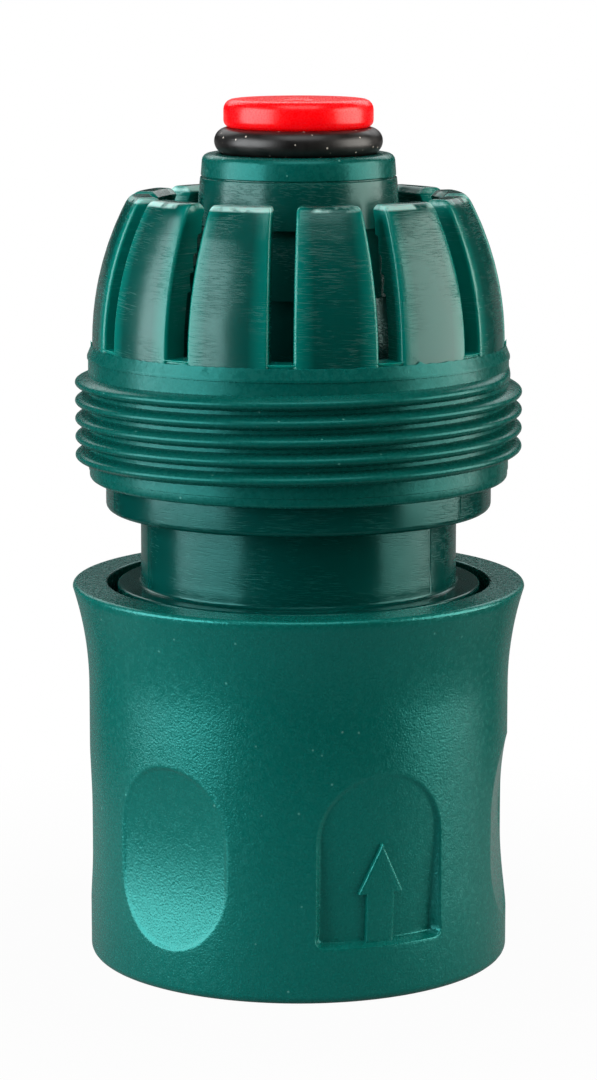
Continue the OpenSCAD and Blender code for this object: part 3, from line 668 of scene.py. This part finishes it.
def sleeveRadius(s, z, withArrow):
    distance = outlineDistance(s, z, withArrow)
    edgeOut = dents["edgeOut"]
    edgeIn = dents["edgeIn"]
    if withArrow:
        floor = fieldRadius(max(z, dents["ledge"]))
        near = max(0, min(1, dents["ledge"] + 1.2 - z))
        edgeOut += (dents["ledgeEdgeOut"] - edgeOut) * near
        edgeIn += (dents["ledgeEdgeIn"] - edgeIn) * near
    else:
        half = dents["height"] / 2 + dents["runOut"]
        curve = (half * half + dents["depth"] ** 2) / (2 * dents["depth"])
        away = min(abs(z - dents["foot"] - dents["height"] / 2), half)
        floor = sleeve["radius"] + curve - dents["depth"] - math.sqrt(curve * curve - away * away)
        floor = floor / math.cos(s / sleeve["radius"])  # flat from side to side
    share = max(0, min(1, (edgeOut - distance) / (edgeOut + edgeIn)))
    share = share * share * (3 - 2 * share)
    return sleeve["radius"] + (min(floor, sleeve["radius"]) - sleeve["radius"]) * share


def dentPatch(index):
    # A sixth of the sleeve's side: loops of points that follow the dent's outline
    withArrow = index == 0
    halfTurn = math.pi / dents["count"]
    half = sleeve["radius"] * halfTurn
    low, high = sleeve["patchFrom"], sleeve["patchTo"]
    columns, rows = sleeve["columnsPerDent"], sleeve["rowsPerDent"]
    border = [(half * (2 * i / columns - 1), low) for i in range(columns)]
    border += [(half, low + (high - low) * i / rows) for i in range(rows)]
    border += [(half * (1 - 2 * i / columns), high) for i in range(columns)]
    border += [(-half, high - (high - low) * i / rows) for i in range(rows)]
    middle = (low + high) / 2

    def along(corner, share):
        return (corner[0] * share, middle + (corner[1] - middle) * share)

    def shareAt(corner, distance):
        near, far = 0.0, 1.0
        for _ in range(26):
            trial = (near + far) / 2
            if outlineDistance(*along(corner, trial), withArrow) < distance:
                near = trial
            else:
                far = trial
        return near

    loops = [border]
    outermost = [shareAt(corner, 0.5) for corner in border]
    for blend in (0.3, 0.65):
        loops.append([along(c, 1 + (share - 1) * blend) for c, share in zip(border, outermost)])
    innermost = outermost
    for distance in (0.5, 0.34, 0.22, 0.14, 0.06, -0.02, -0.1, -0.18, -0.26, -0.36, -0.46, -0.56, -0.75, -1.0):
        innermost = [shareAt(corner, distance) for corner in border]
        loops.append([along(c, share) for c, share in zip(border, innermost)])
    for shrink in (0.86, 0.72, 0.58, 0.44, 0.3, 0.17, 0.07):
        loops.append([along(c, share * shrink) for c, share in zip(border, innermost)])
    turn = math.radians(dents["arrowAt"] + index * 360 / dents["count"])
    points = []
    for loop in loops:
        for s, z in loop:
            r = sleeveRadius(s, z, withArrow)
            angle = turn + s / sleeve["radius"]
            points.append((r * math.cos(angle), r * math.sin(angle), z))
    count = len(border)
    faces = []
    for i in range(len(loops) - 1):
        for j in range(count):
            k = (j + 1) % count
            faces.append((i * count + j, i * count + k, (i + 1) * count + k, (i + 1) * count + j))
    r = sleeveRadius(0, middle, withArrow)
    points.append((r * math.cos(turn), r * math.sin(turn), middle))
    last = (len(loops) - 1) * count
    faces += [(last + j, last + (j + 1) % count, len(points) - 1) for j in range(count)]
    return points, faces


def sleeveRings():
    # Everything of the sleeve but the dented stretch, as an open band of rings
    curve = (sleeve["flareHeight"] ** 2 + sleeve["rimFlare"] ** 2) / (2 * sleeve["rimFlare"])
    flareFrom = sleeve["height"] - sleeve["rimRound"] - sleeve["flareHeight"]
    rim = sleeve["radius"] + sleeve["rimFlare"]
    outline = [(sleeve["radius"], sleeve["patchTo"] + 0.6 * i) for i in range(4)]
    outline += [(sleeve["radius"] + curve - math.sqrt(curve * curve - h * h), flareFrom + h)
                for h in [sleeve["flareHeight"] * i / 14 for i in range(1, 14)]]
    outline += arc((rim - sleeve["rimRound"], sleeve["height"] - sleeve["rimRound"]), sleeve["rimRound"], 0, 90, 6)
    inside = [
        (sleeve["rimInner"], sleeve["height"], 0.15), (sleeve["springRoom"], sleeve["springRoomTop"], 0.5),
        (sleeve["springRoom"], sleeve["ledgeTop"], 0.25), (cone["ledgeRadius"], sleeve["ledgeTop"], 0.2),
        (cone["ledgeRadius"], cone["ledgeFrom"], 0.1), (coneRadius(0), 0, 0.2),
        (sleeve["radius"], 0, sleeve["footRound"]),
    ]
    anchors = [(rim - 1, sleeve["height"])] + inside + [(sleeve["radius"], sleeve["patchFrom"])]
    outline += roundCorners(anchors, 6)[1:]
    columns = sleeve["columnsPerDent"] * dents["count"]
    start = math.radians(dents["arrowAt"] - 180 / dents["count"])
    points = []
    faces = []
    count = len(outline)
    for i in range(columns):
        angle = start + 2 * math.pi * i / columns
        points += [(r * math.cos(angle), r * math.sin(angle), z) for r, z in outline]
        following = (i + 1) % columns
        faces += [(i * count + j, following * count + j, following * count + j + 1, i * count + j + 1)
                  for j in range(count - 1)]
    return points, faces


def arrowShape(outline):
    # Raised plate with sloping edges; outline gives its half width at heights above the ledge
    sections = []
    columns = 8
    for height, halfWidth in outline:
        z = dents["ledge"] + height
        top = fieldRadius(z) + arrow["rise"]
        bevel = arrow["bevel"]
        edge = max(halfWidth, 0.06)
        rounding = [(max(edge - bevel * across, 0.01), top - bevel * down)
                    for across, down in ((1, 0), (0.6, 0.1), (0.28, 0.32), (0.08, 0.6), (0, 1))]
        low = top - arrow["rise"] - 0.25
        corners = [(-across, r) for across, r in reversed(rounding)]
        corners += [(rounding[0][0] * (2 * i / columns - 1), top) for i in range(1, columns)]
        corners += rounding + [(edge + 0.04, low), (-edge - 0.04, low)]
        section = [(r * math.cos(s / sleeve["radius"]), r * math.sin(s / sleeve["radius"]), z) for s, r in corners]
        sections.append(turned(section, dents["arrowAt"]))
    return loft(sections)


def makeSleeve(grained):
    shapes = [dentPatch(i) for i in range(dents["count"])] + [sleeveRings()]
    piece = buildPiece("gripSleeve", gather(shapes))
    headFoot = arrow["length"] - arrow["headLength"]
    shaft = [(-0.3 + (headFoot + 0.5) * i / 8, arrow["shaftWidth"] / 2) for i in range(9)]
    slope = arrow["headWidth"] / 2 / arrow["headLength"]
    head = [(headFoot + arrow["headLength"] * i / 10, arrow["headWidth"] / 2 - slope * arrow["headLength"] * i / 10)
            for i in range(11)]
    combine(piece, "UNION", [arrowShape(shaft), arrowShape(head)])
    quarter = [i * 360 / claws["count"] + 45 for i in range(claws["count"])]
    notch = [(sleeve["notchFrom"], 11.4, sleeve["notchRadius"]), (sleeve["ledgeTop"] + 1, 11.4, sleeve["notchRadius"])]
    combine(piece, "DIFFERENCE", [gather([curvedBar(notch, sleeve["notchWidth"], turn) for turn in quarter])])
    finishPiece(piece, "sleeve", [grained], ["grip_sleeve"], sharpest=48)
    return piece


# Valve: red head, groove for the seal, four fins and the push ring
valve = {
    "headRadius": 6.12, "headFrom": 68.89, "headTop": 71.19, "headRound": 0.85, "footRound": 0.6,
    "grooveRadius": 4.68, "retainerRadius": 5.75, "retainerTop": 66.69, "retainerHeight": 1.1,
    "finRadius": 6.1, "finThickness": 1.4, "coreRadius": 1.7,
    "pushRadius": 7.3, "pushFrom": 18.0, "pushHeight": 1.5, "pushWidth": 1.7,
    "gateRadius": 0.85, "gateDepth": 0.01,
}
seal = {"ringRadius": 5.78, "thickness": 2.2, "height": 67.79}
springs = {
    "sleeve": {"radius": 14.175, "wire": 1.1, "coils": 5.5, "bottom": 15.52, "top": 29.88},
    "valve": {"radius": 6.75, "wire": 0.7, "coils": 6.5, "bottom": 19.52, "top": 32.98},
}


def makeValve(red):
    top = valve["headTop"]
    gate = valve["gateRadius"]
    outline = roundCorners([
        (0, valve["retainerTop"] - valve["retainerHeight"]),
        (valve["retainerRadius"], valve["retainerTop"] - valve["retainerHeight"], 0.4),
        (valve["retainerRadius"], valve["retainerTop"], 0.1), (valve["grooveRadius"], valve["retainerTop"], 0.15),
        (valve["grooveRadius"], valve["headFrom"], 0.15), (valve["headRadius"], valve["headFrom"], valve["footRound"]),
        (valve["headRadius"], top, valve["headRound"]),
        (3.4, top - 0.03, 0.5), (gate + 0.45, top - 0.1, 0.3), (gate + 0.2, top - 0.2, 0.12),
        (gate - 0.1, top - 0.05, 0.12), (gate - 0.45, top - valve["gateDepth"], 0.1), (0, top - valve["gateDepth"])], 5)
    piece = buildPiece("valvePlunger", lathe(outline, 128))
    ringInner = valve["pushRadius"] - valve["pushWidth"]
    ringTop = valve["pushFrom"] + valve["pushHeight"]
    ring = roundCorners([(ringInner, valve["pushFrom"], 0.2), (valve["pushRadius"], valve["pushFrom"], 0.35),
                         (valve["pushRadius"], ringTop, 0.1), (ringInner, ringTop, 0.2)])
    core = [(0, valve["pushFrom"]), (valve["coreRadius"], valve["pushFrom"]),
            (valve["coreRadius"], valve["retainerTop"] - 0.5), (0, valve["retainerTop"] - 0.5)]
    fins = []
    for turn in (45, 135):
        half = valve["finThickness"] / 2
        section = roundCorners([(-valve["finRadius"], -half, 0.2), (valve["finRadius"], -half, 0.2),
                                (valve["finRadius"], half, 0.2), (-valve["finRadius"], half, 0.2)], 3)
        fins.append(loft([turned([(x, y, z) for x, y in section], turn)
                          for z in (valve["pushFrom"] + 0.02, valve["retainerTop"] - 0.7)]))
    combine(piece, "UNION", [lathe(core, 48), lathe(ring, 96), *fins])
    finishPiece(piece, "valve", [red], ["valve_plunger"])
    return piece


def makeSeal(black):
    radius = seal["thickness"] / 2
    outline = arc((seal["ringRadius"], seal["height"]), radius, 0, 360, 40)[:-1]
    piece = buildPiece("valveSeal", lathe(outline, 160))
    finishPiece(piece, "valve", [black], ["valve_seal"])
    return piece


def makeSpring(name, coil, steel, replaced):
    flat = 0.75  # turns that lie closed at each end
    closed = coil["wire"] * flat * 1.05
    rise = coil["top"] - coil["bottom"] - coil["wire"]

    def heightAt(t):
        if t < flat:
            return closed * t / flat
        if t > coil["coils"] - flat:
            return rise - closed * (coil["coils"] - t) / flat
        return closed + (rise - 2 * closed) * (t - flat) / (coil["coils"] - 2 * flat)

    stepsPerTurn = 64
    sides = 14
    steps = round(coil["coils"] * stepsPerTurn)
    sections = []
    for i in range(steps + 1):
        t = i / stepsPerTurn
        middle = coil["bottom"] + coil["wire"] / 2 + heightAt(min(t, coil["coils"]))
        ring = arc((coil["radius"], middle), coil["wire"] / 2, 0, 360, sides)[:-1]
        sections.append(turned([(r, 0, z) for r, z in ring], 360 * t))
    piece = buildPiece(name, loft(sections))
    finishPiece(piece, "connector", [steel], replaced)
    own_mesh(piece)
    return piece


def dressClaws(material):
    for i in range(claws["count"]):
        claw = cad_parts[f"locking_claw_{i + 1}"]
        for slotIndex in range(max(1, len(claw.material_slots))):
            if slotIndex >= len(claw.data.materials):
                claw.data.materials.append(material)
            claw.data.materials[slotIndex] = material


# Studio: a round pale floor, a white backdrop behind, and soft light from both sides.
# The front stays dark, so the sides of the plastic light up and its middle keeps its colour.
studio = {
    "left": {"radiance": 5.9, "width": 0.45, "height": 0.38, "turn": -69, "distance": 0.42, "rise": 0.15,
             "colour": "#fafdff"},
    "right": {"radiance": 5.0, "width": 0.38, "height": 0.38, "turn": 86, "distance": 0.42, "rise": 0.15,
              "colour": "#fffaf2"},
    "back": {"radiance": 1.6, "width": 0.6, "height": 0.22, "turn": 180, "distance": 0.34, "rise": 0.28,
             "colour": "#ffffff"},
    "top": {"radiance": 2.4, "width": 0.34, "height": 0.3, "turn": 4, "distance": 0.17, "rise": 0.44,
            "colour": "#ffffff"},
    "ambient": 0.01,
    "floorRadius": 75, "floorGlow": 0.97, "mirrorShare": 0.12, "floorColour": "#848482",
    "backdropAway": 500, "backdropHalfWidth": 400, "backdropFrom": -200, "backdropTo": 60,
}


def paleSurface(name, share):
    # Shows white to the camera and in reflections by that share, and takes the shadow with the rest
    material, tree = newMaterial(name)
    path = addNode(tree, "ShaderNodeLightPath")
    either = addNode(tree, "ShaderNodeMath", {0: path.outputs["Is Glossy Ray"],
                                              1: path.outputs["Is Transmission Ray"]}, operation="MAXIMUM").outputs[0]
    mirrored = spread(tree, either, 0, 1, 0, studio["mirrorShare"])
    seen = addNode(tree, "ShaderNodeMath", {0: path.outputs["Is Camera Ray"], 1: mirrored},
                   operation="MAXIMUM").outputs[0]
    away = addNode(tree, "ShaderNodeVectorMath", {0: millimetres(tree)}, operation="LENGTH").outputs["Value"]
    reach = studio["floorRadius"]
    whiter = spread(tree, away, 0.35 * reach, 0.95 * reach, share, 1.0)
    glowShare = addNode(tree, "ShaderNodeMath", {0: seen, 1: whiter}, operation="MULTIPLY").outputs[0]
    paint = addNode(tree, "ShaderNodeBsdfDiffuse", {"Color": hexToLinear(studio["floorColour"])}).outputs[0]
    glow = addNode(tree, "ShaderNodeEmission", {"Color": (1, 1, 1, 1), "Strength": 1.0}).outputs[0]
    front = addNode(tree, "ShaderNodeMixShader", {0: glowShare, 1: paint, 2: glow}).outputs[0]
    # Clear from below, so that the underside can be looked at
    below = addNode(tree, "ShaderNodeNewGeometry").outputs["Backfacing"]
    clear = addNode(tree, "ShaderNodeBsdfTransparent").outputs[0]
    surface = addNode(tree, "ShaderNodeMixShader", {0: below, 1: front, 2: clear}).outputs[0]
    addNode(tree, "ShaderNodeOutputMaterial", {"Surface": surface})
    return material


def makeStudio():
    reach = studio["floorRadius"]
    rim = [(reach * math.cos(math.radians(a)), reach * math.sin(math.radians(a)), -0.02)
           for a in range(0, 360, 3)]
    floor = buildPiece("floor", (rim, [tuple(range(len(rim)))]))
    if floor.data.polygons[0].normal.z < 0:
        floor.data.flip_normals()
    away = studio["backdropAway"]
    half, low, high = studio["backdropHalfWidth"], studio["backdropFrom"], studio["backdropTo"]
    backdrop = buildPiece("backdrop", ([(-half, away, low), (half, away, low), (half, away, high),
                                        (-half, away, high)], [(0, 1, 2, 3)]))
    white = paleSurface("paleStudioPaint", studio["floorGlow"])
    for surface in (floor, backdrop):
        surface.data.materials.append(white)
    world = bpy.data.worlds.new("studioWorld")
    world.use_nodes = True
    tree = world.node_tree
    tree.nodes.clear()
    path = addNode(tree, "ShaderNodeLightPath")
    strength = spread(tree, path.outputs["Is Camera Ray"], 0, 1, studio["ambient"], 1.0)
    glow = addNode(tree, "ShaderNodeBackground", {"Color": (1, 1, 1, 1), "Strength": strength})
    addNode(tree, "ShaderNodeOutputWorld", {"Surface": glow.outputs[0]})
    scene.world = world
    for name in ("left", "right", "back", "top"):
        look = studio[name]
        light = bpy.data.lights.new(name + "Softbox", "AREA")
        light.shape = "RECTANGLE"
        light.size = look["width"]
        light.size_y = look["height"]
        light.energy = look["radiance"] * math.pi * look["width"] * look["height"]
        light.color = hexToLinear(look["colour"])[:3]
        lamp = bpy.data.objects.new(name + "Softbox", light)
        turn = math.radians(look["turn"])
        lamp.location = (look["distance"] * math.sin(turn), -look["distance"] * math.cos(turn), look["rise"])
        aim = Vector((0, 0, 0.04 if name in ("back", "top") else look["rise"]))
        lamp.rotation_euler = (aim - lamp.location).to_track_quat("-Z", "Y").to_euler()
        lamp.visible_camera = False
        scene.collection.objects.link(lamp)


def makeCamera():
    data = bpy.data.cameras.new("camera")
    data.sensor_width = 36
    data.lens = 122.35
    camera = bpy.data.objects.new("camera", data)
    camera.location = (0, -0.30015, 0.08685)
    camera.rotation_euler = (math.radians(80.156), 0, 0)
    scene.collection.objects.link(camera)
    scene.camera = camera


scene.view_settings.view_transform = "Standard"
makeCamera()
makeStudio()
print("studio and camera ready")
smoothGreen = polishedPolypropylene("polishedGreenPolypropylene", polished, (0.28, 1.0, 0.94, 1.0))
rubbedAndLitGreen = polishedPolypropylene("rubbedAndLitGreenPolypropylene", rubbedAndLit, (0.6, 1.0, 0.95, 1.0), onJaws=True)
grainedGreen = erodedPolypropylene("erodedGreenPolypropylene", eroded, (0.15, 1.0, 0.94, 1.0), 1.0)
satinGreen = erodedPolypropylene("satinGreenPolypropylene", satin, (0.16, 1.0, 0.94, 1.0), 0.5)
makeBody(smoothGreen, satinGreen, rubbedAndLitGreen)
print("connector body ready")
makeSleeve(grainedGreen)
print("grip sleeve ready")
makeValve(redPolypropylene("glossyRedPolypropylene", redPlastic))
makeSeal(nitrileRubber("dustyNitrileRubber", rubber))
print("valve and seal ready")
steel = drawnWire("drawnStainlessWire", wire)
makeSpring("sleeveSpring", springs["sleeve"], steel, ["sleeve_spring"])
makeSpring("valveSpring", springs["valve"], steel, ["valve_spring"])
dressClaws(grainedGreen)
print("springs and claws ready")
